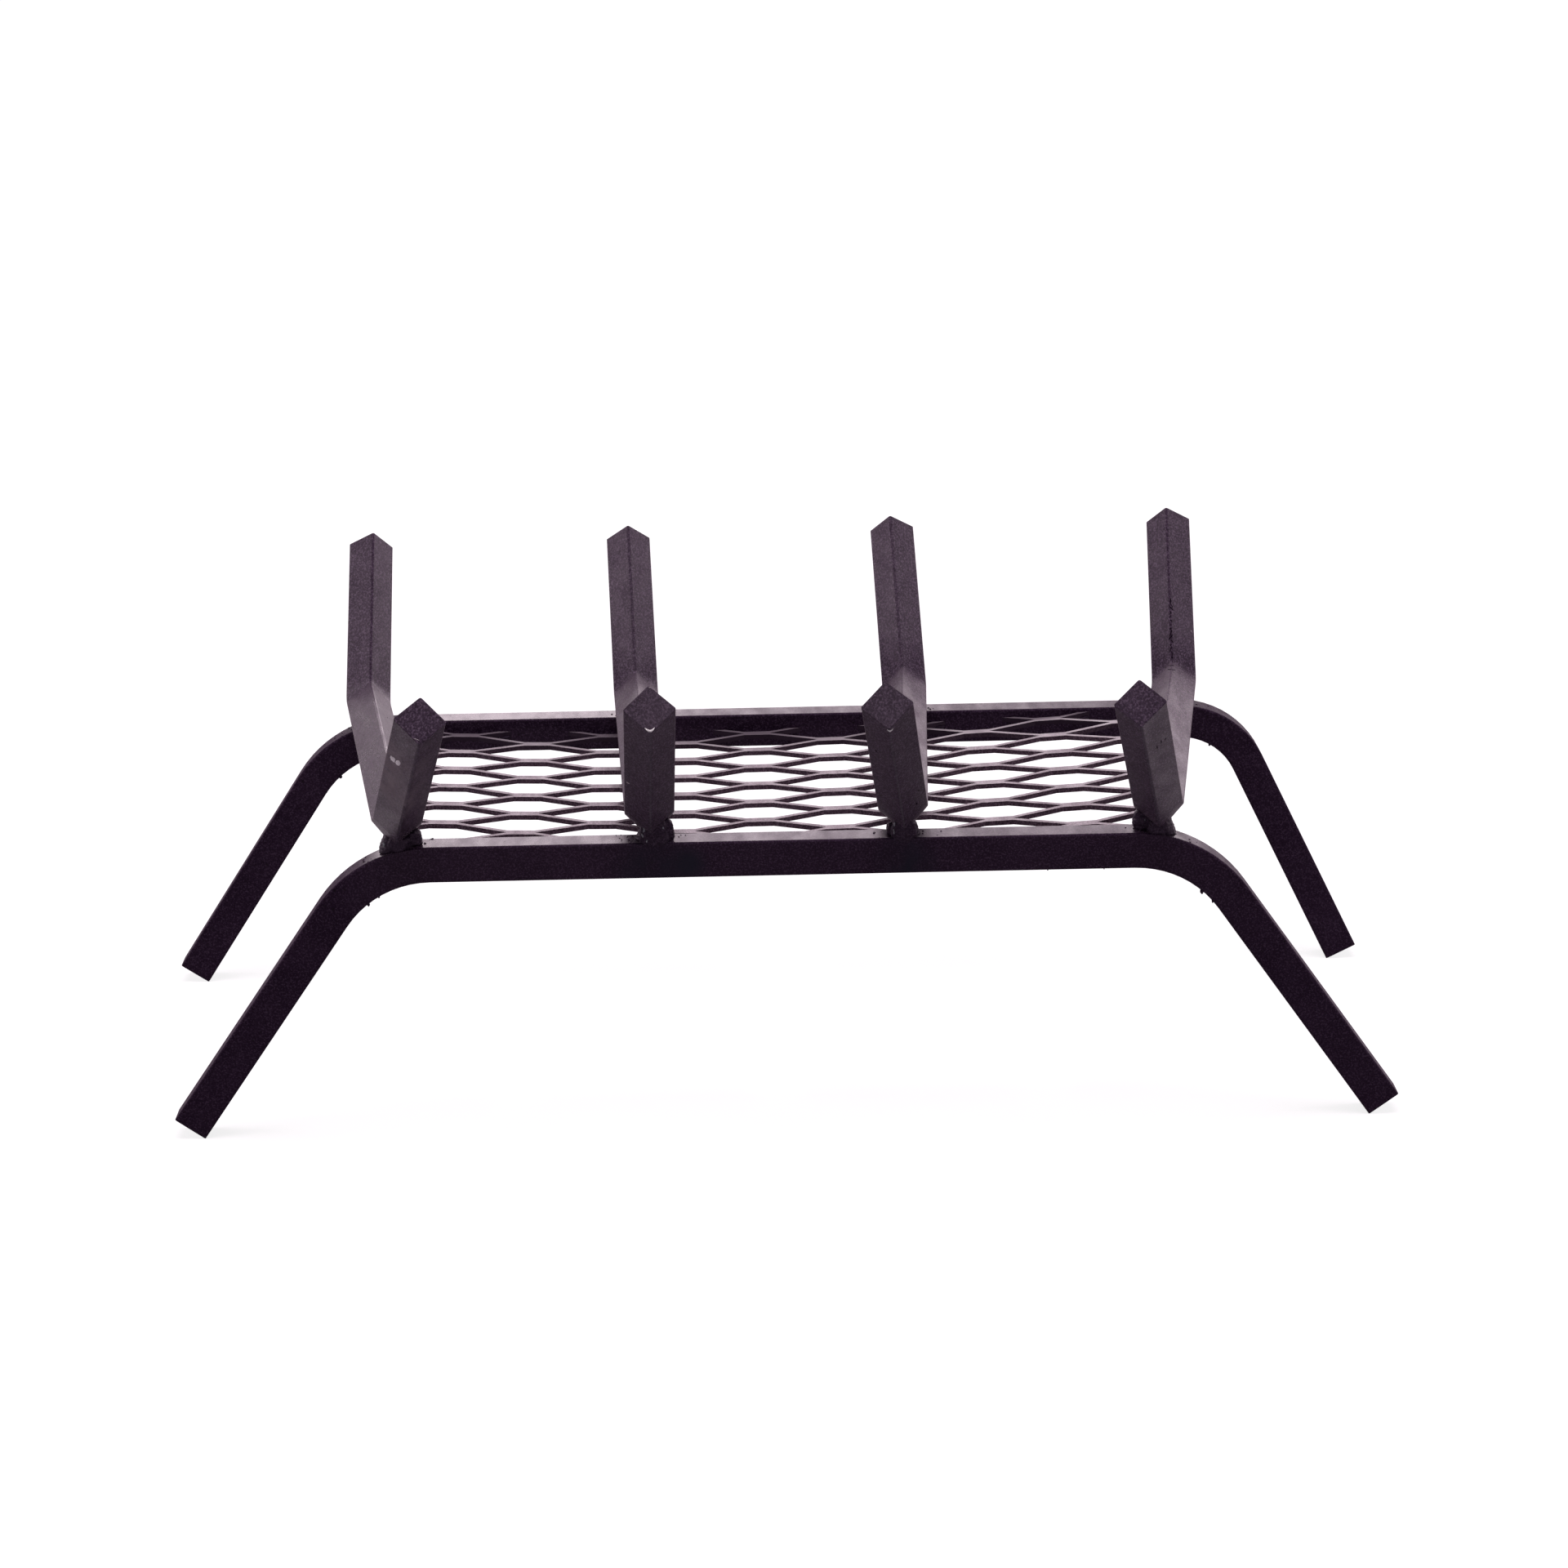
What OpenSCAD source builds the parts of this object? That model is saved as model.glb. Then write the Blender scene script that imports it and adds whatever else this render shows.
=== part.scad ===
// Log grate for a fireplace or wood stove.
// Square steel bar throughout: two bent leg frames, four grate bars laid edge-up across them,
// a sheet of expanded metal between the two rails, and the welds that hold it all together.
// +X runs along the rails, +Y from the narrow leg frame to the wide one, +Z up.
// The origin is on the hearth, under the middle of the overall length and width.

/* [Bar stock] */
// Side of the square bar
bar = 12.7; // [11:0.1:14]
// Radius of the bar's long edges
bar_corner = 0.8; // [0.5:0.1:1.2]

/* [Leg frames] */
// Height of the rails' tops above the hearth
rail_height = 104.8; // [95:0.1:130]
// Distance between the rails' centre lines
rail_spacing = 187.8; // [180:0.2:220]
// Bend radius of the legs, to the bar's centre line
leg_bend_radius = 42; // [30:1:46]
// Narrow frame: from the middle to the edge that the left foot stands on
narrow_foot_left = 204; // [198:0.1:225]
// Narrow frame: how far its left leg spreads from upright, in degrees
narrow_spread_left = 34.8; // [26:0.1:36]
// Narrow frame: from the middle to the edge that the right foot stands on
narrow_foot_right = 207.3; // [198:0.1:225]
// Narrow frame: how far its right leg spreads, in degrees
narrow_spread_right = 35.1; // [26:0.1:36]
// Wide frame: from the middle to the edge that the left foot stands on
wide_foot_left = 226; // [220:0.1:250]
// Wide frame: how far its left leg spreads, in degrees
wide_spread_left = 33.3; // [24:0.1:34]
// Wide frame: from the middle to the edge that the right foot stands on
wide_foot_right = 219.6; // [216:0.1:250]
// Wide frame: how far its right leg spreads, in degrees
wide_spread_right = 25.8; // [20:0.1:30]
// Wide frame: bend radius of its right leg, which is bent tighter than the others
wide_bend_radius_right = 30; // [22:1:44]

/* [Grate bars] */
// Distance between neighbouring bars over the narrow frame
narrow_pitch = 89; // [80:0.2:92]
// Distance between neighbouring bars over the wide frame
wide_pitch = 106.2; // [94:0.2:110]
// Bend radius of the bars, to their centre line
bar_bend_radius = 12.7; // [10.4:0.1:20]
// Angle by which the ends turn up from level, in degrees
upturn = 40.8; // [30:0.1:55]
// Length of each upturned end, from the bend's corner to the cut
end_length = 79; // [60:0.2:110]
// Lean of the first bar towards +X, in degrees
lean_1 = 7.2; // [-8:0.2:8]
// Lean of the second bar
lean_2 = -0.4; // [-8:0.2:8]
// Lean of the third bar
lean_3 = -5.2; // [-8:0.2:8]
// Lean of the fourth bar
lean_4 = -5; // [-8:0.2:8]
// How much shorter the first bar is cut at the wide frame's end
wide_cut_1 = 1; // [-3:0.1:4]
// How much shorter the second bar is cut there
wide_cut_2 = 2.6; // [-3:0.1:4]
// How much shorter the third bar is cut there
wide_cut_3 = 0; // [-3:0.1:4]
// How much shorter the fourth bar is cut there (below zero, it is left longer)
wide_cut_4 = -1.1; // [-3:0.1:4]
// How much shorter the first bar is cut at the narrow frame's end
narrow_cut_1 = 1.5; // [-3:0.1:4]

/* [Ember retainer] */
// Length of the expanded sheet along the rails
mesh_length = 270; // [220:1:280]
// Thickness of the sheet
mesh_thickness = 1.7; // [1.2:0.1:3]
// How far the top of the sheet's middle lies below the rails' tops
mesh_drop = 5.7; // [4:0.1:8]
// How far the sheet's middle hangs below its ends
mesh_bow = 3.5; // [0.6:0.1:4]
// Angle by which the sheet rises towards +X, in degrees
mesh_tilt = 0.6; // [-0.6:0.1:0.6]
// Long way of the diamonds, bond to bond
long_way = 56.8; // [50:0.1:64]
// Short way of the diamonds, bond to bond
short_way = 26.2; // [22:0.1:30]
// Width of a strand, measured along the short way
strand = 2.7; // [2.2:0.1:4]
// Length of the bonds where strands meet
bond = 10; // [8:0.5:14]
// Where a row of bonds lies along the rails
mesh_shift_x = -6; // [-14:0.1:14]
// Where that row lies between the rails
mesh_shift_y = 2.1; // [-12:0.1:12]

/* [Welds] */
// Gap under a bar's lowest edge, which the weld fills
seat_gap = 0.05; // [0.03:0.01:0.1]
// Height of the weld's waist above its foot; its sides end where they meet the bar
weld_height = 7; // [4.5:0.1:8]
// How far the weld's foot spreads beyond its neck
weld_flare = 0.7; // [0.4:0.1:1.2]
// Distance from the weld's foot to where the rail's rounded edge begins
weld_margin = 0.3; // [0.2:0.1:1]
// Radius of the tacks that hold the sheet to the rails
tack_radius = 2.2; // [1.5:0.1:2.6]

/* [Hidden] */
$fn = 128;

steel_paint = [0.17, 0.15, 0.17];
weld_paint = [0.13, 0.11, 0.12];

half_bar = bar / 2;

// The stock swells this much where it is bent, and the straight parts run this far into a bend
swell = 0.01;
lap = 0.02;

rail_axis = rail_height - half_bar;

// Each leg as [foot, spread, bend radius]
narrow_left = [narrow_foot_left, narrow_spread_left, leg_bend_radius];
narrow_right = [narrow_foot_right, narrow_spread_right, leg_bend_radius];
wide_left = [wide_foot_left, wide_spread_left, leg_bend_radius];
wide_right = [wide_foot_right, wide_spread_right, wide_bend_radius_right];

// How far the feet reach to each side, and the offset that centres them
function reach(leg) = leg.x + bar * cos(leg.y);
centring = (max(reach(narrow_left), reach(wide_left))
    - max(reach(narrow_right), reach(wide_right))) / 2;

// The bars' section stands on a rounded edge, so its middle is this far above that edge's centre
edge_rise = (half_bar - bar_corner) * sqrt(2);

leans = [lean_1, lean_2, lean_3, lean_4];
wide_cuts = [wide_cut_1, wide_cut_2, wide_cut_3, wide_cut_4];
narrow_cuts = [narrow_cut_1, 0, 0, 0];
places = [-1.5, -0.5, 0.5, 1.5];

mesh_top = rail_height - mesh_drop;
mesh_width = rail_spacing - bar;
bow_radius = (mesh_length * mesh_length / 4 + mesh_bow * mesh_bow) / 2 / mesh_bow;

// Where bar number n crosses a frame (side -1 is the narrow one, +1 the wide one)
function crossing(n, side) = [places[n - 1] * (side < 0 ? narrow_pitch : wide_pitch),
    side * rail_spacing / 2];

// Angle by which bar n fans out, and half its length between the two bends' corners
function fan_angle(n) = atan2(crossing(n, 1).x - crossing(n, -1).x, rail_spacing);
function half_span(n) = rail_spacing / 2 / cos(fan_angle(n));

// Straight part of a leg, from the cut foot to the bend's corner
function leg_length(leg) = (rail_axis - half_bar * sin(leg.y)) / cos(leg.y);

// Distances from the frame's middle to the corner where rail and leg would meet,
// and to where the rail starts to bend
function leg_corner(leg) = leg.x + half_bar * cos(leg.y) - leg_length(leg) * sin(leg.y);
function bend_start(leg) = leg_corner(leg) - leg.z * tan(45 - leg.y / 2);

// Height at which the centre of bar n's lower edge lies over a frame. The outer bars may lie
// where the rail already bends down, and then they sit lower.
function seat(n, side) = let (x = crossing(n, side).x,
    leg = side < 0 ? (x < 0 ? narrow_left : narrow_right) : (x < 0 ? wide_left : wide_right),
    past = max(0, abs(x) - bend_start(leg)),
    outside = leg.z + half_bar,
    distance = outside + seat_gap + bar_corner)
    rail_height - outside + sqrt(distance * distance - past * past);

// Angle by which bar n rises towards the wide frame
function rise(n) = asin((seat(n, 1) - seat(n, -1)) / 2 / half_span(n));

// Columns and rows of bonds that cover the sheet, and the middle of the bond at [c, r]
columns = ceil(mesh_length / long_way) + 1;
rows = ceil(mesh_width / short_way / 2) + 1;
function bond_middle(c, r) = [mesh_shift_x + c * long_way / 2,
    mesh_shift_y + (r + (c % 2 == 0 ? 0 : 0.5)) * short_way];

// Every strand's middle line, from one bond's end to the next
strands = [for (c = [-columns : columns], r = [-rows : rows], way = [-1, 1])
    let (start = bond_middle(c, r))
    [start + [bond, way * strand] / 2,
        start + [(long_way - bond) / 2, way * (short_way - strand) / 2]]];

// A strand stays on the sheet if one of its ends lies within the cut edges by this margin.
// Others are scraps that come loose at the corners when the sheet is cut.
cut_margin = 0.3;
function held(p) = abs(p.x) < mesh_length / 2 - cut_margin
    && abs(p.y) < (mesh_width + strand) / 2 - cut_margin;
function crosses_sheet(s) = min(abs(s[0].x), abs(s[1].x)) < mesh_length / 2
    && min(abs(s[0].y), abs(s[1].y)) < (mesh_width + strand) / 2;
scraps = [for (s = strands) if (crosses_sheet(s) && !held(s[0]) && !held(s[1])) s];

// Places on the sheet where a strand or bond meets the line at y
function strand_places(y) = [for (s = strands)
    let (t = (y - s[0].y) / (s[1].y - s[0].y), x = s[0].x + t * (s[1].x - s[0].x))
    if (t >= 0 && t <= 1 && abs(x) < mesh_length / 2 - tack_radius) x];
function bond_places(y) = [for (c = [-columns : columns], r = [-rows : rows])
    let (middle = bond_middle(c, r))
    if (abs(middle.y - y) <= strand / 2 && abs(middle.x) < mesh_length / 2 - tack_radius) middle.x];
function nearest(list, x) = [for (v = list) if (abs(v - x) == min([for (w = list) abs(w - x)])) v][0];

// Height of the sheet's top at x, and its slope there
function sheet_level(x) =
    mesh_top + bow_radius - sqrt(bow_radius * bow_radius - x * x) + x * tan(mesh_tilt);
function sheet_slope(x) = asin(x / bow_radius) + mesh_tilt;

module place() {
    translate([centring, 0, 0]) children();
}

// Square section with rounded edges, larger all round by extra
module stock_section(extra = 0) {
    flat = bar - 2 * bar_corner;
    side = bar + 2 * extra;
    square([side, flat], center = true);
    square([flat, side], center = true);
    for (x = [-1, 1], y = [-1, 1])
        translate([x, y] * flat / 2) circle(r = bar_corner + extra);
}

// Half of a bent bar: straight along +Z, then round towards +X, then straight again.
// reach and arm are measured to the bend's corner; turn rolls the section about its axis.
module bent_half(reach, radius, angle, arm, turn = 0) {
    setback = radius * tan(angle / 2);
    linear_extrude(reach - setback + lap) rotate(turn) stock_section();
    translate([radius, 0, reach - setback]) {
        mirror([1, 0, 0]) rotate([90, 0, 0]) rotate_extrude(angle = angle)
            translate([radius, 0]) rotate(turn) stock_section(swell);
        rotate([0, angle, 0]) translate([-radius, 0, -lap])
            linear_extrude(arm - setback + lap) rotate(turn) stock_section();
    }
}

// One bar bent into a rail with two spread legs, cut square at the feet
module leg_frame(y, left, right) {
    translate([0, y, rail_axis]) rotate([0, 90, 0]) {
        bent_half(leg_corner(right), right.z, 90 - right.y, leg_length(right));
        mirror([0, 0, 1]) bent_half(leg_corner(left), left.z, 90 - left.y, leg_length(left));
    }
}

module narrow_frame() {
    leg_frame(-rail_spacing / 2, narrow_left, narrow_right);
}

module wide_frame() {
    leg_frame(rail_spacing / 2, wide_left, wide_right);
}

// One bar laid edge-up, fanned and leaned, with both ends turned up
module grate_bar(n) {
    middle = (crossing(n, -1) + crossing(n, 1)) / 2;
    translate([middle.x, 0, (seat(n, -1) + seat(n, 1)) / 2]) rotate([0, 0, -fan_angle(n)])
        rotate([rise(n), 0, 0]) rotate([0, leans[n - 1], 0])
            translate([0, 0, edge_rise]) rotate([0, -90, -90])
                for (end = [0, 1]) {
                    cut = end == 0 ? wide_cuts[n - 1] : narrow_cuts[n - 1];
                    mirror([0, 0, end])
                        bent_half(half_span(n), bar_bend_radius, upturn, end_length - cut, 45);
                }
}

// Six-sided opening of the expanded sheet
module opening() {
    tip = (long_way - bond) / 2;
    flat = short_way / 2 - strand;
    polygon([[-tip, 0], [-bond / 2, -flat], [bond / 2, -flat],
        [tip, 0], [bond / 2, flat], [-bond / 2, flat]]);
}

// Thin shell that the sheet is cut from: bowed along its length and tilted
module sheet_blank(width) {
    translate([0, 0, mesh_top]) rotate([0, -mesh_tilt, 0]) translate([0, 0, bow_radius])
        rotate([90, 0, 0]) difference() {
            cylinder(r = bow_radius + mesh_thickness, h = width, center = true, $fn = 720);
            cylinder(r = bow_radius, h = 2 * width, center = true, $fn = 720);
        }
}

module expanded_sheet() {
    intersection() {
        sheet_blank(2 * rail_spacing);
        translate([0, 0, mesh_top - 2 * mesh_drop]) linear_extrude(4 * mesh_drop) diamond_pattern();
    }
}

module diamond_pattern() {
    difference() {
        square([mesh_length, mesh_width], center = true);
        for (c = [-columns : columns], r = [-rows : rows]) {
            at = bond_middle(c, r) + [0, short_way / 2];
            if (abs(at.x) < (mesh_length + long_way) / 2 && abs(at.y) < (mesh_width + short_way) / 2)
                translate(at) opening();
        }
        for (s = scraps) {
            half_width = [0, strand / 2 + cut_margin];
            polygon([s[0] - half_width, s[1] - half_width, s[1] + half_width, s[0] + half_width]);
        }
    }
}

// Weld round a bar's seat: a flared collar, less the bar and the rail that it joins
module weld(n, side) {
    toe = half_bar - bar_corner - weld_margin;
    neck = toe - weld_flare;
    flare_radius = (weld_flare * weld_flare + weld_height * weld_height) / 2 / weld_flare;
    at = crossing(n, side);
    difference() {
        translate([at.x, at.y, seat(n, side) - seat_gap - bar_corner]) rotate_extrude() {
            translate([0, -half_bar]) square([toe, half_bar]);
            difference() {
                square([toe, weld_height]);
                translate([neck + flare_radius, weld_height]) circle(r = flare_radius, $fn = 360);
            }
            translate([0, weld_height]) square([neck, half_bar / 2]);
        }
        grate_bar(n);
        if (side < 0) narrow_frame();
        else wide_frame();
    }
}

// Small tacks in the corner under the sheet, at the strand or bond nearest to each bar
module mesh_tacks(side) {
    face = side * mesh_width / 2;
    places = concat(strand_places(face), bond_places(face));
    for (n = [1 : 4]) {
        x = nearest(places, crossing(n, side).x);
        translate([x, face, sheet_level(x)]) rotate([0, -sheet_slope(x), 0])
            translate([0, 0, -mesh_thickness]) intersection() {
                sphere(r = tack_radius, $fn = 48);
                translate([0, -side * tack_radius, -tack_radius])
                    cube(2 * tack_radius, center = true);
            }
    }
}

place() color(steel_paint) narrow_frame();  // narrow_leg_frame
place() color(steel_paint) wide_frame();  // wide_leg_frame
place() color(steel_paint) grate_bar(1);  // grate_bar_1
place() color(steel_paint) grate_bar(2);  // grate_bar_2
place() color(steel_paint) grate_bar(3);  // grate_bar_3
place() color(steel_paint) grate_bar(4);  // grate_bar_4
place() color(steel_paint) expanded_sheet();  // ember_retainer
place() color(weld_paint) mesh_tacks(-1);  // narrow_mesh_tacks
place() color(weld_paint) mesh_tacks(1);  // wide_mesh_tacks
place() color(weld_paint) weld(1, -1);  // narrow_weld_1
place() color(weld_paint) weld(2, -1);  // narrow_weld_2
place() color(weld_paint) weld(3, -1);  // narrow_weld_3
place() color(weld_paint) weld(4, -1);  // narrow_weld_4
place() color(weld_paint) weld(1, 1);  // wide_weld_1
place() color(weld_paint) weld(2, 1);  // wide_weld_2
place() color(weld_paint) weld(3, 1);  // wide_weld_3
place() color(weld_paint) weld(4, 1);  // wide_weld_4
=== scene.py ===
"""Log grate: the paint, the weld beads, the small marks of use and a few painted highlights, with floor,
lamps and camera.

Everything is in the CAD's frame and in metres: +X along the rails, +Y away from the camera, +Z up.
Places named by a pixel are read in the photo and found on the part by a ray from the camera.
"""
import math
import random

import bmesh
import bpy
from mathutils import Matrix, Vector, noise
from mathutils.bvhtree import BVHTree


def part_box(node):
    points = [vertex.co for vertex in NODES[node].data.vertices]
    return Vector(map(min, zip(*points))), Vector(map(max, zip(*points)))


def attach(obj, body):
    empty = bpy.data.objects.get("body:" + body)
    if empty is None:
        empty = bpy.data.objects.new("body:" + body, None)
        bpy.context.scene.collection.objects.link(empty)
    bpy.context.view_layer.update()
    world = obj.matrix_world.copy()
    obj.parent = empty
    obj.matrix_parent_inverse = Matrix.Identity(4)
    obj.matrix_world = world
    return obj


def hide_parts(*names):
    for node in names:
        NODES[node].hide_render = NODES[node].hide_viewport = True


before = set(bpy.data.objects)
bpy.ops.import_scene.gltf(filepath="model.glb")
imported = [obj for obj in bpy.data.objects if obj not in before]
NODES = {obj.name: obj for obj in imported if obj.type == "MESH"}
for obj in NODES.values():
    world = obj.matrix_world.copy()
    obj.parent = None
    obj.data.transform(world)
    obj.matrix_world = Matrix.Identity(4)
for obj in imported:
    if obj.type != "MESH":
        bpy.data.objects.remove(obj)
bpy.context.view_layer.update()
SCENE = bpy.context.scene
X, Y, Z = range(3)
MM = 0.001


# ---------------------------------------------------------------- camera, from the photo's edges
PICTURE = 1920  # side of the photo, in pixels
FOCAL = 4916.8  # in pixels
SENSOR = 36  # in mm
FARTHEST = 50
YAW, PITCH, ROLL = -0.01053, 0.25285, -0.01793
EYE = Vector((-0.00901, -1.44407, 0.47228))
FORWARD = Vector((-math.sin(YAW) * math.cos(PITCH), math.cos(YAW) * math.cos(PITCH), -math.sin(PITCH)))
LEVEL = Vector((math.cos(YAW), math.sin(YAW), 0))
UPRIGHT = LEVEL.cross(FORWARD)
RIGHT = math.cos(ROLL) * LEVEL + math.sin(ROLL) * UPRIGHT
UP = math.cos(ROLL) * UPRIGHT - math.sin(ROLL) * LEVEL


def add_camera():
    cam = bpy.data.objects.new("camera", bpy.data.cameras.new("camera"))
    cam.data.sensor_width = SENSOR
    cam.data.lens = FOCAL / PICTURE * SENSOR
    cam.data.clip_end = FARTHEST
    cam.matrix_world = Matrix.Translation(EYE) @ Matrix((RIGHT, UP, -FORWARD)).transposed().to_4x4()
    SCENE.collection.objects.link(cam)
    SCENE.camera = cam


def sight(px, py):
    """The direction from the camera through a pixel of the photo."""
    across = (px - PICTURE / 2) / FOCAL
    down = (py - PICTURE / 2) / FOCAL
    return (FORWARD + across * RIGHT - down * UP).normalized()


add_camera()


# ---------------------------------------------------------------- node helpers
MIX_A, MIX_B, MIX_RESULT = 6, 7, 2  # the colour sockets of a Mix node


class Shader:
    """Builds the node tree of a new material, or of a world if one is given."""

    def __init__(self, name, world=None):
        self.mat = world or bpy.data.materials.new(name)
        self.mat.use_nodes = True
        self.tree = self.mat.node_tree
        self.tree.nodes.clear()
        self.out = self.add("OutputWorld" if world else "OutputMaterial")

    def add(self, kind, **settings):
        node = self.tree.nodes.new("ShaderNode" + kind)
        for key, value in settings.items():
            setattr(node, key, value)
        return node

    def link(self, a, b):
        self.tree.links.new(a, b)

    def feed(self, socket, value):
        """Sets a socket to a number or colour, or links it."""
        if isinstance(value, (int, float)):
            socket.default_value = value
        elif isinstance(value, tuple):
            socket.default_value = (*value, 1)
        else:
            self.link(value, socket)

    def coords(self, scale=(1, 1, 1)):
        """Object coordinates, so the pattern stays on the part."""
        mapping = self.add("Mapping")
        mapping.inputs["Scale"].default_value = scale
        self.link(self.add("TexCoord").outputs["Object"], mapping.inputs["Vector"])
        return mapping.outputs["Vector"]

    def facing(self):
        """The surface normal, as outputs along X, Y and Z."""
        split = self.add("SeparateXYZ")
        self.link(self.add("NewGeometry").outputs["Normal"], split.inputs[0])
        return split.outputs

    def noise(self, vector, scale, detail, rough):
        n = self.add("TexNoise")
        n.inputs["Scale"].default_value = scale
        n.inputs["Detail"].default_value = detail
        n.inputs["Roughness"].default_value = rough
        self.link(vector, n.inputs["Vector"])
        return n.outputs["Fac"]

    def pits(self, vector, scale, size):
        """Small round spots scattered over the surface: 1 in a spot, 0 around it."""
        v = self.add("TexVoronoi")
        v.inputs["Scale"].default_value = scale
        self.link(vector, v.inputs["Vector"])
        return self.remap(v.outputs["Distance"], size * 0.6, size, 1, 0)

    def remap(self, value, lo, hi, to_lo, to_hi):
        m = self.add("MapRange")
        for socket, number in zip(list(m.inputs)[1:5], (lo, hi, to_lo, to_hi)):
            socket.default_value = number
        self.link(value, m.inputs["Value"])
        return m.outputs["Result"]

    def math(self, operation, a, b):
        m = self.add("Math", operation=operation)
        self.feed(m.inputs[0], a)
        self.feed(m.inputs[1], b)
        return m.outputs[0]

    def product(self, a, b):
        return self.math("MULTIPLY", a, b)

    def mix(self, factor, a, b):
        m = self.add("Mix", data_type="RGBA")
        self.feed(m.inputs["Factor"], factor)
        self.feed(m.inputs[MIX_A], a)
        self.feed(m.inputs[MIX_B], b)
        return m.outputs[MIX_RESULT]

    def bump(self, height, distance, strength, normal=None):
        b = self.add("Bump")
        b.inputs["Distance"].default_value = distance
        b.inputs["Strength"].default_value = strength
        self.link(height, b.inputs["Height"])
        if normal is not None:
            self.link(normal, b.inputs["Normal"])
        return b.outputs["Normal"]

    def near(self, place, radius, soft):
        """1 within radius of a place, falling to 0 over the soft distance."""
        d = self.add("VectorMath", operation="DISTANCE")
        self.link(self.coords(), d.inputs[0])
        d.inputs[1].default_value = place
        return self.remap(d.outputs["Value"], radius, radius + soft, 1, 0)

    def within(self, *stretches):
        """The product of ramps from 0 to 1, one for each stretch (axis, from, to)."""
        split = self.add("SeparateXYZ")
        self.link(self.coords(), split.inputs[0])
        total = 1.0
        for axis, start, end in stretches:
            total = self.product(total, self.remap(split.outputs[axis], start, end, 0, 1))
        return total


# ---------------------------------------------------------------- paint
MIDTONES = (0.35, 0.65)  # the range in which most of a noise lies
DRAWN, GRAINED = (1, 0.3, 1), (1, 0.5, 1)  # scales that stretch a pattern along Y
SOOT = (0.006, 0.003, 0.007)
PIT = (0.006, 0.004, 0.006)
RUBBED = (0.22, 0.185, 0.205)
SAWN = (0.12, 0.11, 0.12)
WORN = (0.12, 0.11, 0.13)


class Paint(Shader):
    """Black stove paint over hot-rolled stock: mottled tone, fine grain and pits.

    The mottle goes from dark to light and the gloss over the range rough; speckle is how far the grain
    shows.
    """

    def __init__(self, name, dark, light, rough, speckle=1.0):
        super().__init__(name)
        drawn = self.coords(DRAWN)
        self.cloud = self.noise(drawn, scale=60, detail=4, rough=0.6)
        self.grain = self.noise(self.coords(GRAINED), scale=1500, detail=2, rough=0.7)
        self.spots = self.pits(self.coords(), scale=150, size=0.09)
        self.colour = self.mix(self.remap(self.cloud, *MIDTONES, 0, 1), dark, light)
        self.tint(self.remap(self.grain, 0.3, 0.5, 0.55 * speckle, 0), SOOT)
        glint = tuple(2.0 * c + 0.02 * speckle for c in light)
        self.tint(self.remap(self.grain, 0.5, 0.7, 0, 0.8 * speckle), glint)
        self.tint(self.product(self.spots, 0.7), PIT)
        self.rough = self.remap(self.noise(drawn, scale=160, detail=3, rough=0.6), *MIDTONES, *rough)

    def tint(self, factor, colour):
        self.colour = self.mix(factor, self.colour, colour)

    def roughen(self, amount):
        self.rough = self.math("ADD", self.rough, amount)

    def stain(self, place, radius, colour):
        """A blot of another colour, clouded inside."""
        clouded = self.remap(self.cloud, 0.35, 0.55, 0.3, 1)
        self.tint(self.product(self.near(place, radius * 0.4, radius), clouded), colour)

    def rub(self, place, radius, strength):
        """A patch where the paint is smeared pale and dull."""
        streaks = self.noise(self.coords(), scale=170, detail=5, rough=0.6)
        smear = self.remap(streaks, 0.4, 0.62, 0.1, strength)
        patch = self.product(self.near(place, radius * 0.3, radius), smear)
        self.tint(patch, RUBBED)
        self.roughen(self.product(patch, 0.2))

    def dull(self, amount, *stretches):
        """More roughness, or less of it, where the stretches reach 1."""
        self.roughen(self.product(self.within(*stretches), amount))

    def dust_and_painted_light(self, painted_highlight_and_dust, painted_shade, *stretches):
        """A lighter colour for the faces that look up, a painted highlight with some dust on it, and a darker
        one for the others, a painted shade, where the stretches reach 1.
        """
        coat = self.mix(self.remap(self.facing()[Z], 0.8, 0.95, 0, 1), painted_shade, painted_highlight_and_dust)
        self.tint(self.within(*stretches), coat)

    def saw(self, amount, *stretches):
        """A lighter and rougher coat on cut ends, which don't face along the rails."""
        sideways = self.math("ABSOLUTE", self.facing()[X], 0.0)
        cut = self.product(self.remap(sideways, 0.25, 0.4, amount, 0), self.within(*stretches))
        self.tint(self.product(cut, self.remap(self.grain, *MIDTONES, 0.6, 1)), SAWN)
        self.roughen(self.product(cut, 0.3))

    def wear(self, amount, *stretches):
        """A pale rubbed coat on the rounded edges between two upright flanks."""
        normal = self.facing()
        edge = self.remap(self.math("ABSOLUTE", normal[X], 0.0), 0.4, 0.66, amount, 0)
        upright = self.product(self.remap(normal[Z], 0.5, 0.7, 1, 0), self.within(*stretches))
        clouded = self.remap(self.cloud, *MIDTONES, 0.5, 1)
        self.tint(self.product(self.product(edge, upright), clouded), WORN)

    def finish(self, edge, sheen):
        """Closes the material, with corners rounded by the radius edge."""
        p = self.add("BsdfPrincipled")
        p.inputs["Specular IOR Level"].default_value = 0.15
        p.inputs["Specular Tint"].default_value = (1.0, 0.75, 0.98, 1)
        p.inputs["Sheen Weight"].default_value = sheen
        p.inputs["Sheen Roughness"].default_value = 0.35
        p.inputs["Sheen Tint"].default_value = (1.0, 0.72, 0.8, 1)
        rounded = self.add("Bevel", samples=4)
        rounded.inputs["Radius"].default_value = edge
        relief = self.math("SUBTRACT", self.grain, self.product(self.spots, 2.0))
        normal = self.bump(self.cloud, distance=0.0003, strength=0.1, normal=rounded.outputs["Normal"])
        normal = self.bump(relief, distance=0.00006, strength=0.4, normal=normal)
        self.link(self.colour, p.inputs["Base Color"])
        self.link(self.rough, p.inputs["Roughness"])
        self.link(normal, p.inputs["Normal"])
        self.link(p.outputs["BSDF"], self.out.inputs["Surface"])
        return self.mat


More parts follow.
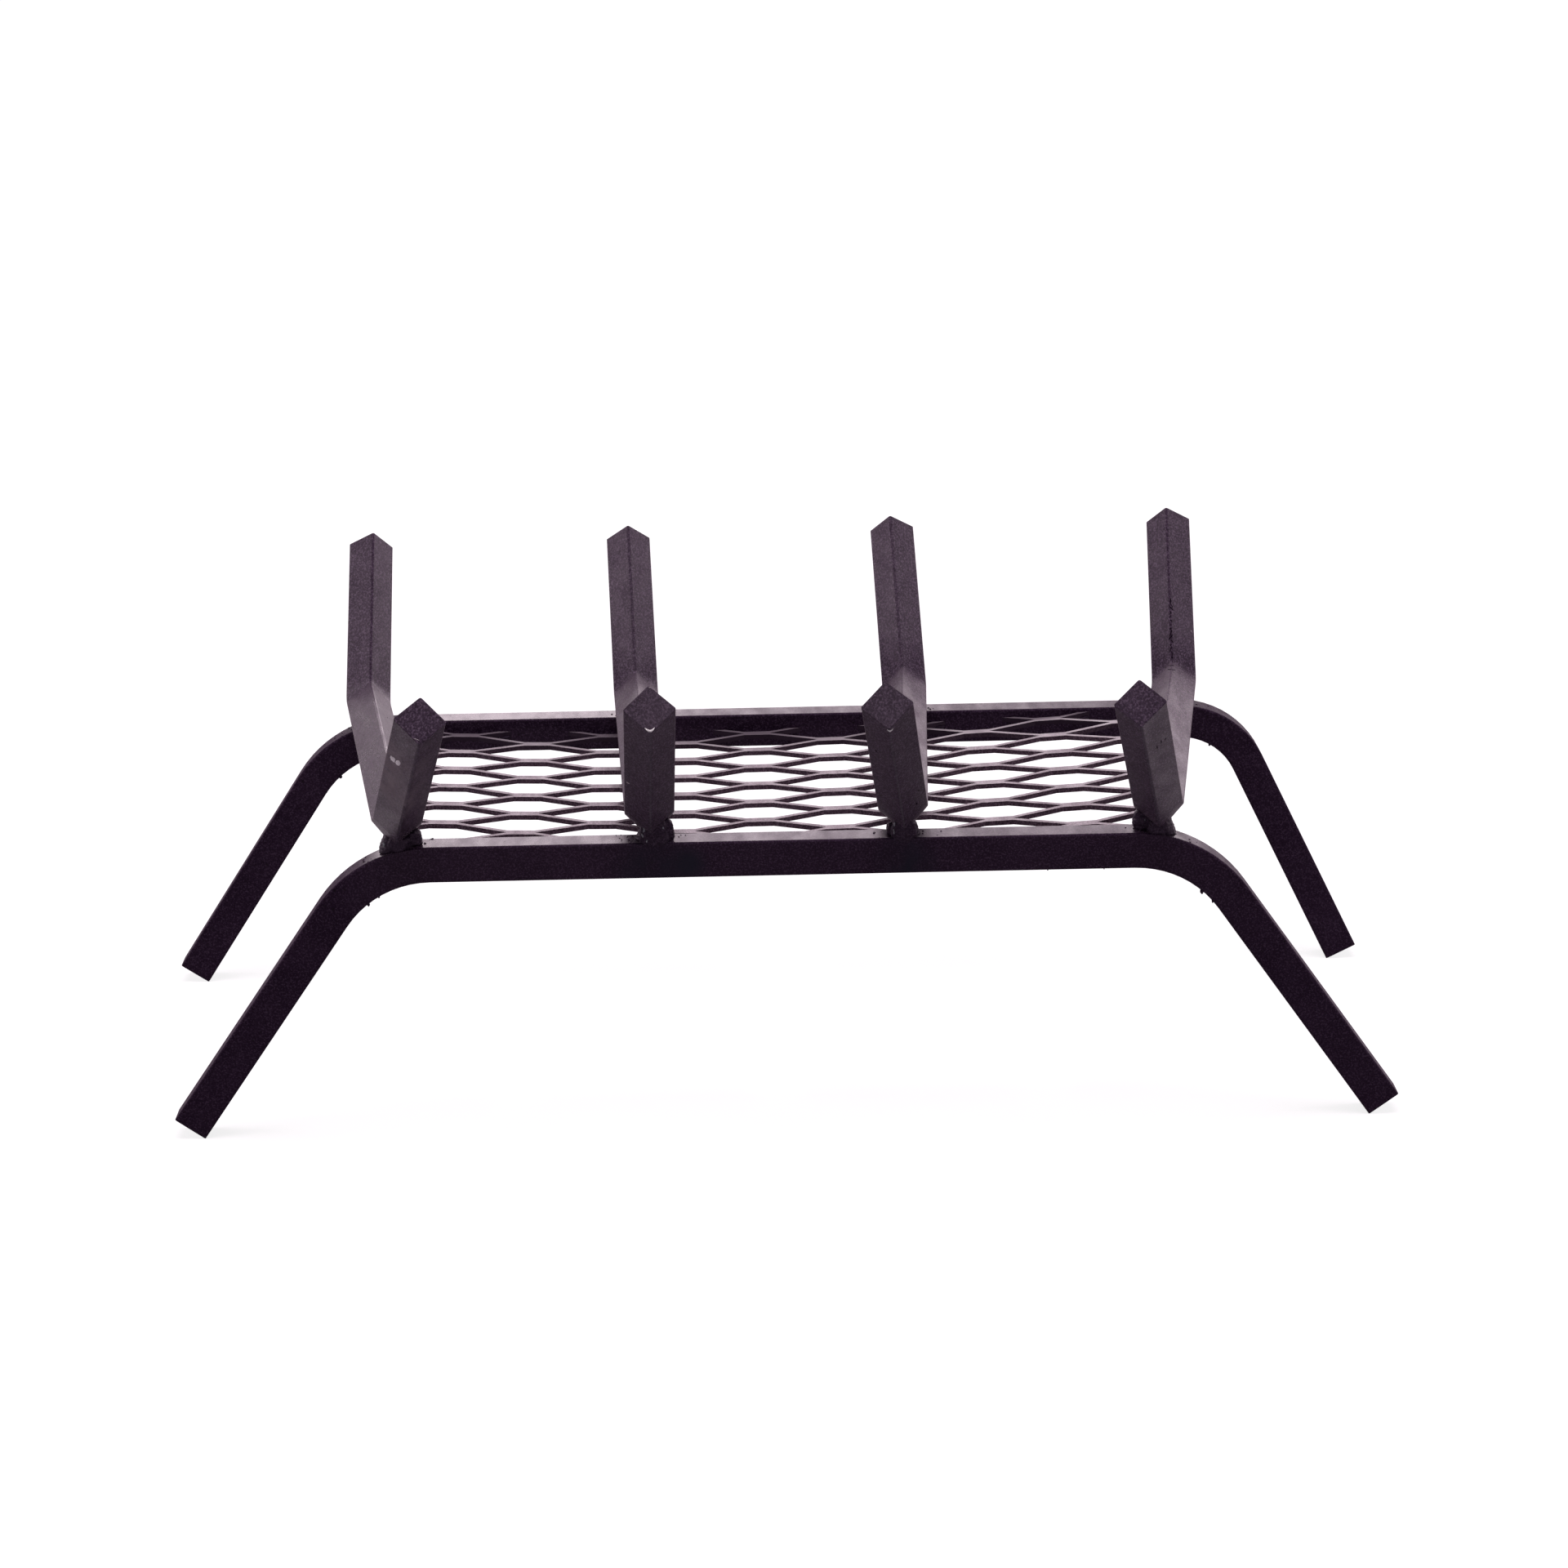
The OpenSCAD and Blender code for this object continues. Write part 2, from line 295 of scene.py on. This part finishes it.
# Places on the part, and stretches (axis, from, to) along which a change of the coat grows.
RAIL_FRONT, RAIL_TOP = -0.10025, 0.1048
MIDDLE_WELDS = (-0.0417, 0.0473)
LEFT_LEGS, RIGHT_LEGS, RIGHTWARD = (X, -0.133, -0.150), (X, 0.140, 0.165), (X, -0.08, 0.12)
FAR_RAIL, FAR_RAIL_RIGHT, FAR_RAIL_LEFT = (Y, 0.05, 0.10), (X, -0.05, -0.01), (X, -0.04, -0.07)
FIRST_BAR, OTHER_BARS, LAST_TWO_BARS = (X, -0.09, -0.11), (X, -0.11, -0.09), (X, 0.0, 0.04)
MIDDLE_BARS = ((X, -0.11, -0.08), (X, 0.11, 0.08))
NEAR_ENDS, FAR_BENDS, FAR_HALF = (Y, -0.095, -0.11), (Y, 0.05, 0.092), (Y, -0.02, 0.03)
NEARER_THAN_BENDS = (Y, 0.10, 0.06)
LEVEL_PART, LEVEL_PART_SOFT = (Z, 0.132, 0.12), (Z, 0.135, 0.12)
FAR_STRANDS = (Y, 0.045, 0.072)

HEAT = (0.010, 0.012, 0.022)
HEAT_STAINS = [(MIDDLE_WELDS[0], 0.094, 0.011), (MIDDLE_WELDS[1], 0.096, 0.009),
               (MIDDLE_WELDS[0] + 0.013, 0.097, 0.006)]  # x and z on the rail's front, radius
BAR_RUBS = [((-0.1271, -0.1358, 0.1469), 0.012, 0.8), ((-0.1290, -0.1238, 0.1340), 0.012, 0.9),
            ((-0.1275, -0.1200, 0.1258), 0.008, 0.6)]  # place on the first bar, radius, strength


def leg_frame_paint():
    paint = Paint("frame_paint", dark=(0.0145, 0.0062, 0.0185), light=(0.025, 0.0125, 0.030),
                  rough=(0.22, 0.34), speckle=1.1)
    for x, z, radius in HEAT_STAINS:
        paint.stain((x, RAIL_FRONT, z), radius, HEAT)
    paint.dull(0.46, LEFT_LEGS)
    paint.dull(0.25, RIGHT_LEGS)
    paint.dull(0.13, RIGHTWARD)
    paint.dull(0.05, FAR_RAIL, FAR_RAIL_RIGHT)
    paint.dull(-0.06, FAR_RAIL, FAR_RAIL_LEFT)
    return paint.finish(edge=0.0005, sheen=0.03)


def grate_bar_paint():
    paint = Paint("bar_paint", dark=(0.028, 0.017, 0.033), light=(0.042, 0.027, 0.048),
                  rough=(0.38, 0.50), speckle=1.5)
    for place, radius, strength in BAR_RUBS:
        paint.rub(place, radius, strength)
    paint.dull(-0.14, FIRST_BAR, NEARER_THAN_BENDS, LEVEL_PART_SOFT)
    paint.dull(0.16, OTHER_BARS, FAR_BENDS, LEVEL_PART)
    paint.dull(0.07, LAST_TWO_BARS, FAR_HALF, LEVEL_PART)
    paint.saw(0.2, *MIDDLE_BARS)
    paint.wear(0.4, NEAR_ENDS)
    return paint.finish(edge=0.0005, sheen=0.06)


def expanded_sheet_paint():
    paint = Paint("mesh_paint", dark=(0.08, 0.052, 0.073), light=(0.105, 0.069, 0.095), rough=(0.29, 0.4))
    # Strands near the far rail: up faces painted lighter as a painted highlight with some dust, other faces
    # painted darker as a painted shade.
    paint.dust_and_painted_light((0.15, 0.128, 0.152), (0.022, 0.013, 0.024), FAR_STRANDS)
    return paint.finish(edge=0.00015, sheen=0.0)


def weld_bead_paint():
    paint = Paint("weld_paint", dark=(0.016, 0.009, 0.020), light=(0.032, 0.021, 0.038), rough=(0.34, 0.5))
    return paint.finish(edge=0.0002, sheen=0.0)


def flecked(name, dark, light, rough, shine=0.5):
    """Bare metal, smears and specks: one flecked tone, for the small marks."""
    s = Shader(name)
    at = s.coords()
    fleck = s.noise(at, scale=1400, detail=3, rough=0.6)
    gloss = s.noise(at, scale=700, detail=2, rough=0.5)
    p = s.add("BsdfPrincipled")
    p.inputs["Specular IOR Level"].default_value = shine
    s.link(s.mix(s.remap(fleck, *MIDTONES, 0, 1), dark, light), p.inputs["Base Color"])
    s.link(s.remap(gloss, 0.3, 0.7, rough - 0.08, rough + 0.1), p.inputs["Roughness"])
    s.link(s.bump(fleck, distance=0.0001, strength=0.5), p.inputs["Normal"])
    s.link(p.outputs["BSDF"], s.out.inputs["Surface"])
    return s.mat


frame_paint = leg_frame_paint()
bar_paint = grate_bar_paint()
mesh_paint = expanded_sheet_paint()
weld_paint = weld_bead_paint()
chip_steel = flecked("chip_steel", (0.3, 0.26, 0.29), (0.5, 0.45, 0.49), 0.5)
# Pale flecked steel for the painted highlights on the welds.
painted_highlight_steel = flecked("painted_highlight_steel", (0.05, 0.055, 0.07), (0.3, 0.32, 0.36), 0.3)
# Near-white steel: a painted highlight on the burrs of two cut ends.
lip_painted_highlight = flecked("lip_painted_highlight", (0.9, 0.9, 0.9), (0.97, 0.97, 0.97), 0.4)
scuffed_steel = flecked("scuffed_steel", (0.82, 0.78, 0.82), (0.92, 0.9, 0.92), 0.4)
pit_black = flecked("pit_black", SOOT, (0.012, 0.007, 0.014), 0.6, shine=0.0)


def coat_of(name):
    """The paint of a CAD node, by its name."""
    if "weld" in name or "tacks" in name:
        return weld_paint
    if "frame" in name:
        return frame_paint
    return mesh_paint if name == "ember_retainer" else bar_paint


for name, node in NODES.items():
    if not node.material_slots:
        node.data.materials.append(coat_of(name))
    for slot in node.material_slots:
        slot.material = coat_of(name)


# ---------------------------------------------------------------- placing small things on the part
PIXEL_STEP = 0.25


def tree_of(mesh):
    return BVHTree.FromPolygons([v.co for v in mesh.vertices], [p.vertices for p in mesh.polygons])


TREES = {name: tree_of(node.data) for name, node in NODES.items() if "tacks" not in name}


def on(node, px, py):
    """Point and normal where the photo's pixel falls on a node."""
    point, normal, _, _ = TREES[node].ray_cast(EYE, sight(px, py))
    if point is None:
        raise RuntimeError(f"pixel {px}, {py} misses {node}")
    return point, normal


def brink(node, px, py):
    """The last point of a node straight below a pixel of the photo."""
    point = on(node, px, py)[0]
    while True:
        py += PIXEL_STEP
        below = TREES[node].ray_cast(EYE, sight(px, py))[0]
        if below is None:
            return point
        point = below


def mesh_of(bm, name):
    """Turns a bmesh into a mesh and frees it."""
    mesh = bpy.data.meshes.new(name)
    bm.to_mesh(mesh)
    bm.free()
    return mesh


def new_piece(name, mesh, mat):
    """Links a mesh as a piece that rides with the part."""
    for p in mesh.polygons:
        p.use_smooth = True
    piece = bpy.data.objects.new(name, mesh)
    mesh.materials.clear()
    mesh.materials.append(mat)
    SCENE.collection.objects.link(piece)
    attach(piece, "root")
    return piece


def lying(normal, hint=Vector((0, 0, 1))):
    """Two directions that lie in a surface: across the hint and along it."""
    along = (hint - hint.dot(normal) * normal).normalized()
    return along.cross(normal), along


def half_axes(rx, ry, rz):
    return Vector((rx, 0, 0)), Vector((0, ry, 0)), Vector((0, 0, rz))


def lump(bm, at, axes, seed, rough, levels=2, square=1.0):
    """An uneven ellipsoid on three half axes; square below 1 makes it boxier."""
    made = bmesh.ops.create_icosphere(bm, subdivisions=levels, radius=1)["verts"]
    for v in made:
        d = v.co.normalized()
        d = Vector([math.copysign(abs(c) ** square, c) for c in d])
        k = 1 + rough * noise.noise(d * 1.7 + Vector((seed * 3.1, 0, 0)))
        v.co = at + k * (d.x * axes[X] + d.y * axes[Y] + d.z * axes[Z])


# ---------------------------------------------------------------- welds
VOXEL = 0.0003
SMOOTHING = 5
MERGE, LONG_EDGE = 1e-6, 0.0012
PINCH, PINCH_HEIGHT = 0.38, 0.006  # how far a bead narrows, and how high over the rail
SWELL = 0.00012  # how far the skin stands out on average
FINE, BROAD, RIPPLES = 900, 330, 5200  # how closely the skin's three patterns are packed
FINE_RISE, BROAD_RISE, RIPPLE_RISE = 0.00012, 0.00022, 0.00005
WELD_LUMPS = {  # middle and half sizes of the lumps that the photo shows on a bead
    "narrow_weld_1": [((-0.1290, -0.0970, 0.1056), (0.0044, 0.0030, 0.0034)),
                      ((-0.1245, -0.0945, 0.1066), (0.0036, 0.0030, 0.0036))],
    "narrow_weld_2": [((-0.0402, -0.0984, 0.1076), (0.0048, 0.0027, 0.0052)),
                      ((-0.0440, -0.0975, 0.1066), (0.0012, 0.0024, 0.0040)),
                      ((-0.0362, -0.0962, 0.1078), (0.0028, 0.0026, 0.0048))],
    "narrow_weld_3": [((0.0467, -0.0984, 0.1074), (0.0046, 0.0027, 0.0052)),
                      ((0.0420, -0.0950, 0.1060), (0.0014, 0.0024, 0.0030))],
    "narrow_weld_4": [((0.1350, -0.0968, 0.1056), (0.0042, 0.0029, 0.0034)),
                      ((0.1302, -0.0945, 0.1080), (0.0036, 0.0030, 0.0044))],
    "wide_weld_2": [((-0.0500, 0.0968, 0.1064), (0.0042, 0.0028, 0.0038))],
    "wide_weld_3": [((0.0566, 0.0968, 0.1064), (0.0042, 0.0028, 0.0038))],
}


def remeshed(mesh, skin):
    """Voxel remesh of a closed mesh, smoothed, with its skin raised by skin(place)."""
    helper = bpy.data.objects.new("helper", mesh)
    SCENE.collection.objects.link(helper)
    remesh = helper.modifiers.new("remesh", "REMESH")
    remesh.mode = "VOXEL"
    remesh.voxel_size = VOXEL
    smooth = helper.modifiers.new("smooth", "SMOOTH")
    smooth.iterations = SMOOTHING
    smooth.factor = 0.5
    bpy.context.view_layer.update()
    depsgraph = bpy.context.evaluated_depsgraph_get()
    result = bpy.data.meshes.new_from_object(helper.evaluated_get(depsgraph))
    bpy.data.objects.remove(helper)
    normals = [v.normal.copy() for v in result.vertices]
    for v, n in zip(result.vertices, normals):
        v.co += n * skin(v.co)
    return result


def weld_bead(name, seed):
    """Rebuilds a weld from its CAD solid with the uneven, rippled skin of the real bead."""
    bm = bmesh.new()
    bm.from_mesh(NODES[name].data)
    bmesh.ops.remove_doubles(bm, verts=bm.verts, dist=MERGE)
    bmesh.ops.subdivide_edges(bm, edges=[e for e in bm.edges if e.calc_length() > LONG_EDGE], cuts=3)
    low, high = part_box(name)
    middle = (low.x + high.x) / 2
    for v in bm.verts:
        up = min(max((v.co.z - RAIL_TOP) / PINCH_HEIGHT, 0), 1)
        v.co.x = middle + (v.co.x - middle) * (1 - PINCH * up)
    for i, (at, radii) in enumerate(WELD_LUMPS.get(name, ())):
        lump(bm, Vector(at), half_axes(*radii), seed + i, rough=0.2, levels=3, square=0.8)
    shift = Vector((seed * 7.3, 0, 0))

    def skin(co):
        fine = noise.noise(co * FINE + shift)
        broad = noise.noise(co * BROAD + shift)
        ripple = math.sin(co.z * RIPPLES + 2.5 * broad + seed)
        return SWELL + BROAD_RISE * broad + FINE_RISE * fine + RIPPLE_RISE * ripple

    result = remeshed(mesh_of(bm, name + "_bead"), skin)
    result.name = name + "_bead"
    piece = new_piece(name + "_bead", result, weld_paint)
    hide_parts(name)
    TREES[name] = tree_of(result)


for i, name in enumerate(sorted(n for n in NODES if "weld" in n)):
    weld_bead(name, i + 1)


# ---------------------------------------------------------------- spatter, burrs, and lips painted near white as highlights
BEADS_PER_WELD = 16
SPREAD_X, SPREAD_Y = 0.013, 0.0055
DROP = 0.02  # height over the weld from which a bead falls on the rail
BEAD_RADII = (0.00018, 0.00048)
BURRS = [  # node, pixel of the photo, half height in mm
    ("narrow_leg_frame", 1472, 1060, 0.9), ("narrow_leg_frame", 1485, 1075, 0.6),
    ("wide_leg_frame", 1481, 895, 0.6), ("wide_leg_frame", 417, 930, 0.8),
    ("narrow_leg_frame", 451, 1080, 0.7), ("narrow_leg_frame", 464, 1075, 0.5),
    ("narrow_leg_frame", 1283, 1045, 0.35), ("narrow_leg_frame", 1352, 1045, 0.3)]
LIP_RADIUS, LIP_SIDES = 0.4 * MM, 8
PAINTED_HIGHLIGHT_LIPS = {  # node, and the course in pixels of the photo of a burr lip painted near white as a highlight
    "end_lip_painted_highlight_2": ("grate_bar_2", [(789.5, 891.5), (792, 893.5), (794.5, 895), (797, 895.3),
                                  (799.5, 893.5), (801.5, 891)]),
    "end_lip_painted_highlight_3": ("grate_bar_3", [(1086, 893), (1088, 894.5), (1090, 895), (1092, 894), (1094, 891.5)]),
}


def spatter():
    """Beads of weld spatter on the rails round each weld, half sunk in the paint."""
    rnd = random.Random(11)
    bm = bmesh.new()
    for side in ("narrow", "wide"):
        for n in range(1, 5):
            low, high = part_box(f"{side}_weld_{n}")
            middle = (low + high) / 2
            for _ in range(BEADS_PER_WELD):
                away = Vector((rnd.uniform(-SPREAD_X, SPREAD_X), rnd.uniform(-SPREAD_Y, SPREAD_Y), DROP))
                at, normal, _, _ = TREES[f"{side}_leg_frame"].ray_cast(middle + away, Vector((0, 0, -1)))
                if at is None:
                    continue
                r = rnd.uniform(*BEAD_RADII)
                across, along = lying(normal, Vector((0.3, 1, 0.1)))
                lump(bm, at, (r * across, r * along * 1.2, 0.8 * r * normal), rnd.random() * 9, rough=0.2)
    new_piece("weld_spatter", mesh_of(bm, "weld_spatter"), weld_paint)


def burrs():
    """Burrs that the bending die and the shear left on the legs' inner faces."""
    bm = bmesh.new()
    for i, (node, px, py, size) in enumerate(BURRS):
        r = size * MM
        centre = brink(node, px, py) + Vector((0, 0.8 * r, -0.3 * r))
        lump(bm, centre, half_axes(0.7 * r, 1.2 * r, r), i, rough=0.5)
    new_piece("die_burrs", mesh_of(bm, "die_burrs"), frame_paint)


def lip(name, node, course):
    """A burr along the lower corner of a sheared end, thickest in its middle, painted near white: a painted
    highlight on a real burr.
    """
    spots = [on(node, *pixel) for pixel in course]
    last = len(spots) - 1
    bm = bmesh.new()
    rings = []
    for i, (at, normal) in enumerate(spots):
        along = (spots[min(i + 1, last)][0] - spots[max(i - 1, 0)][0]).normalized()
        r = LIP_RADIUS * (0.15 + math.sin(math.pi * i / last))
        side = normal.cross(along).normalized()
        rings.append([bm.verts.new(at + r * (math.cos(a) * side + 0.7 * math.sin(a) * normal))
                      for a in (2 * math.pi * k / LIP_SIDES for k in range(LIP_SIDES))])
    for a, b in zip(rings, rings[1:]):
        for k in range(LIP_SIDES):
            after = (k + 1) % LIP_SIDES
            bm.faces.new((a[k], a[after], b[after], b[k]))
    bm.faces.new(rings[0][::-1])
    bm.faces.new(rings[-1])
    bmesh.ops.recalc_face_normals(bm, faces=bm.faces)
    new_piece(name, mesh_of(bm, name), lip_painted_highlight)


spatter()
burrs()
for name, (node, course) in PAINTED_HIGHLIGHT_LIPS.items():
    lip(name, node, course)


# ---------------------------------------------------------------- chips, scuffs, painted highlights on the welds, and pits
FLAKE_POINTS, FLAKE_SINK, FLAKE_HEIGHT = 14, 0.0001, 0.00012
FIRST_SEED = 40
# Each mark: node, pixel of the photo, length and width in mm, angle in degrees.
CHIPS = [("grate_bar_1", 510, 905.5, 0.35, 2.4, 25), ("grate_bar_2", 769, 958.5, 0.8, 1.7, 20),
         ("grate_bar_2", 777, 1007, 0.8, 0.9, 0), ("grate_bar_2", 795.5, 842, 0.45, 0.9, 0),
         ("grate_bar_4", 1458.5, 773, 0.9, 0.5, 10)]
SCUFFS = [("grate_bar_1", 481, 929.5, 3.0, 4.0, -34), ("grate_bar_1", 487.3, 934, 2.4, 4.4, -34)]
# Pale flakes where the welds catch the light: painted highlights.
PAINTED_WELD_HIGHLIGHTS = [("narrow_weld_2", 788.5, 1016, 2.6, 0.9, 10), ("narrow_weld_2", 787, 1024, 2.2, 0.8, -15),
          ("narrow_weld_2", 792, 1030, 1.6, 0.7, 20), ("narrow_weld_2", 812, 1014, 1.0, 0.8, 0),
          ("narrow_weld_3", 1095, 1010, 2.0, 0.8, 5), ("narrow_weld_3", 1094.5, 1019, 2.4, 0.7, 0),
          ("narrow_weld_1", 470, 1036, 3.4, 1.2, 5), ("narrow_weld_4", 1402, 1004, 1.0, 0.6, 30)]
RAIL_SPECKS = [("narrow_leg_frame", 1312, 1014, 0.9, 1.2, 80), ("narrow_leg_frame", 1324, 1012, 1.3, 1.4, 75),
               ("narrow_leg_frame", 1333, 1015, 0.8, 1.2, 60), ("narrow_leg_frame", 1341, 1011, 1.6, 1.6, 85),
               ("narrow_leg_frame", 1349, 1014, 0.8, 1.2, 90), ("narrow_leg_frame", 1357, 1012, 1.2, 1.4, 70),
               ("narrow_leg_frame", 540, 1032, 4.0, 0.9, 86), ("narrow_leg_frame", 652, 1028, 0.9, 1.4, 90)]
BAR_PITS = [("grate_bar_3", 1073, 919.5, 0.9, 0.7, 0), ("grate_bar_3", 1125, 968, 0.5, 0.5, 0),
            ("grate_bar_3", 1122.5, 984, 0.9, 1.2, 40), ("grate_bar_1", 474.5, 879, 0.5, 0.9, 10),
            ("grate_bar_4", 1422, 908, 2.2, 0.3, -35), ("grate_bar_4", 1417, 915, 2.6, 0.25, -40),
            ("grate_bar_4", 1427, 905, 1.2, 0.3, 10)]
RIDGE_X, RIDGE_LEAN = 1433.2, 0.022  # pixel at the ridge's top, and pixels across for each one down
RIDGE_TOP, RIDGE_BOTTOM, RIDGE_STEP = 735, 824, 5  # pixels


def ridge_pits():
    """Marks for the row of pits down the front edge of the last bar's far end."""
    rnd = random.Random(5)
    return [("grate_bar_4", RIDGE_X + RIDGE_LEAN * (y - RIDGE_TOP) + rnd.uniform(-1.1, 1.1), y,
             rnd.uniform(1, 4), rnd.uniform(0.25, 0.8), rnd.uniform(-25, 25))
            for y in range(RIDGE_TOP, RIDGE_BOTTOM, RIDGE_STEP)]


def flake(bm, at, normal, length, width, angle, seed):
    """A thin domed flake on the surface, with a ragged outline."""
    rnd = random.Random(seed)
    across, along = lying(normal)
    u = math.cos(angle) * along + math.sin(angle) * across
    v = math.cos(angle) * across - math.sin(angle) * along
    rim = []
    for i in range(FLAKE_POINTS):
        a = 2 * math.pi * i / FLAKE_POINTS
        k = rnd.uniform(0.72, 1.1)
        rim.append((k * math.cos(a) * length / 2) * u + (k * math.sin(a) * width / 2) * v)
    low = [bm.verts.new(at + r - FLAKE_SINK * normal) for r in rim]
    top = [bm.verts.new(at + 0.8 * r + FLAKE_HEIGHT * normal) for r in rim]
    crown = bm.verts.new(at + 1.3 * FLAKE_HEIGHT * normal)
    for i in range(FLAKE_POINTS):
        j = (i + 1) % FLAKE_POINTS
        bm.faces.new((low[i], low[j], top[j], top[i]))
        bm.faces.new((top[i], top[j], crown))


def flakes(name, mat, marks):
    """One piece of flakes, one for each mark."""
    bm = bmesh.new()
    for i, (node, px, py, length, width, angle) in enumerate(marks):
        at, normal = on(node, px, py)
        flake(bm, at, normal, length * MM, width * MM, math.radians(angle), FIRST_SEED + i)
    new_piece(name, mesh_of(bm, name), mat)


flakes("paint_chips", chip_steel, CHIPS)
flakes("paint_scuffs", scuffed_steel, SCUFFS)
flakes("painted_weld_highlights", painted_highlight_steel, PAINTED_WELD_HIGHLIGHTS)
flakes("rail_specks", pit_black, RAIL_SPECKS)
flakes("paint_pits", pit_black, ridge_pits() + BAR_PITS)


# ---------------------------------------------------------------- floor, world and lamps
TINT, WHITE = (1.0, 0.87, 0.93), (1.0, 1.0, 1.0)
FLOOR_COLOUR = (0.355, 0.345, 0.365, 1)
FLOOR_REACH = 9
UNDER_PART, FAR_AWAY = 0.82, 1.0  # how bright the camera sees the floor
FLOOR_GLEAM = 0.75  # how bright the paint mirrors the floor; round these places it is lowered as a painted shadow and raised as painted pools of light
FLOOR_PAINTED_SHADE_AND_LIGHT = [((-0.6, 0.7, 0), 1.1, 1.4, -0.55), ((0, 0, 0), 0.15, 0.3, -0.10),
          ((-0.03, -0.03, 0), 0.03, 0.1, -0.2), ((0.2, -0.5, 0), 0.1, 0.35, -0.3),
          ((-0.29, 0, 0), 0.05, 0.09, 0.4), ((0.29, 0, 0), 0.05, 0.09, 0.4)]  # place, radius, fade, gain: below 0 a painted shadow, above 0 a painted pool of light
SKY_COLOUR = (0.8 * TINT[0], 0.8 * TINT[1], 0.8 * TINT[2], 1)
SKY_LIGHT, SKY_SEEN = 0.22, 1.0  # strength for diffuse light, and for what is seen or mirrored
LAMPS_AIM = Vector((0, 0, 0.1))


def floor_material():
    """A plain floor that keeps the shadow, white to the camera and pale to the gloss, with painted shadows
    and pools of light in what the gloss sees.
    """
    s = Shader("floor")
    path = s.add("LightPath")
    camera = path.outputs["Is Camera Ray"]
    mirrored = s.math("MAXIMUM", path.outputs["Is Glossy Ray"], path.outputs["Is Transmission Ray"])
    away = s.math("SUBTRACT", 1.0, s.near((0, 0, 0), 0.7, 1.6))
    shown = s.product(camera, s.remap(away, 0, 1, UNDER_PART, FAR_AWAY))
    gleam_painted_shade_and_light = FLOOR_GLEAM
    # Painted shadows and pools of light in the floor that the paint mirrors.
    for place, radius, fade, gain in FLOOR_PAINTED_SHADE_AND_LIGHT:
        gleam_painted_shade_and_light = s.math("ADD", gleam_painted_shade_and_light, s.product(s.near(place, radius, fade), gain))
    diffuse = s.add("BsdfDiffuse")
    diffuse.inputs["Color"].default_value = FLOOR_COLOUR
    glow = s.add("Emission")
    s.link(s.math("ADD", shown, s.product(mirrored, gleam_painted_shade_and_light)), glow.inputs["Strength"])
    s.link(s.mix(camera, TINT, WHITE), glow.inputs["Color"])
    both = s.add("AddShader")
    s.link(diffuse.outputs[0], both.inputs[0])
    s.link(glow.outputs[0], both.inputs[1])
    s.link(both.outputs[0], s.out.inputs["Surface"])
    return s.mat


def add_floor():
    r = FLOOR_REACH
    mesh = bpy.data.meshes.new("floor")
    mesh.from_pydata([(-r, -r, 0), (r, -r, 0), (r, r, 0), (-r, r, 0)], [], [(0, 1, 2, 3)])
    floor = bpy.data.objects.new("floor", mesh)
    SCENE.collection.objects.link(floor)
    floor.data.materials.append(floor_material())


def add_world():
    """A pale sky, weaker as a light than where it is seen, and darker overhead and to the left."""
    world = bpy.data.worlds.new("studio")
    SCENE.world = world
    w = Shader("studio", world)
    path = w.add("LightPath")
    mirrored = w.math("MAXIMUM", path.outputs["Is Glossy Ray"], path.outputs["Is Transmission Ray"])
    seen = w.math("MAXIMUM", path.outputs["Is Camera Ray"], mirrored)
    split = w.add("SeparateXYZ")
    w.link(w.add("TexCoord").outputs["Generated"], split.inputs[0])
    overhead = w.remap(split.outputs[Z], 0.45, 0.85, 1.0, 0.7)
    shade = w.product(overhead, w.remap(split.outputs[X], -0.36, -0.16, 0.6, 1.0))
    sky = w.add("Background")
    sky.inputs["Color"].default_value = SKY_COLOUR
    w.link(w.product(shade, w.remap(seen, 0, 1, SKY_LIGHT, SKY_SEEN)), sky.inputs["Strength"])
    w.link(sky.outputs[0], w.out.inputs["Surface"])


def area(name, at, size, power, glossy=True):
    """A soft lamp that looks at the part."""
    lamp = bpy.data.lights.new(name, "AREA")
    lamp.color = TINT
    lamp.shape = "RECTANGLE"
    lamp.size, lamp.size_y = size
    lamp.energy = power
    obj = bpy.data.objects.new(name, lamp)
    obj.location = at
    obj.rotation_euler = (LAMPS_AIM - Vector(at)).to_track_quat("-Z", "Y").to_euler()
    obj.visible_glossy = glossy
    SCENE.collection.objects.link(obj)


add_floor()
add_world()
area("key", at=(0, -0.25, 2.2), size=(1.6, 1.2), power=34, glossy=False)
area("back", at=(0.64, 3.2, 0.98), size=(4.12, 1.34), power=39)
area("left", at=(-2.2, 1.1, 0.95), size=(1.6, 1.4), power=18)
area("right", at=(2.2, 1.1, 0.95), size=(1.6, 1.4), power=9)

SCENE.view_settings.view_transform = "Standard"
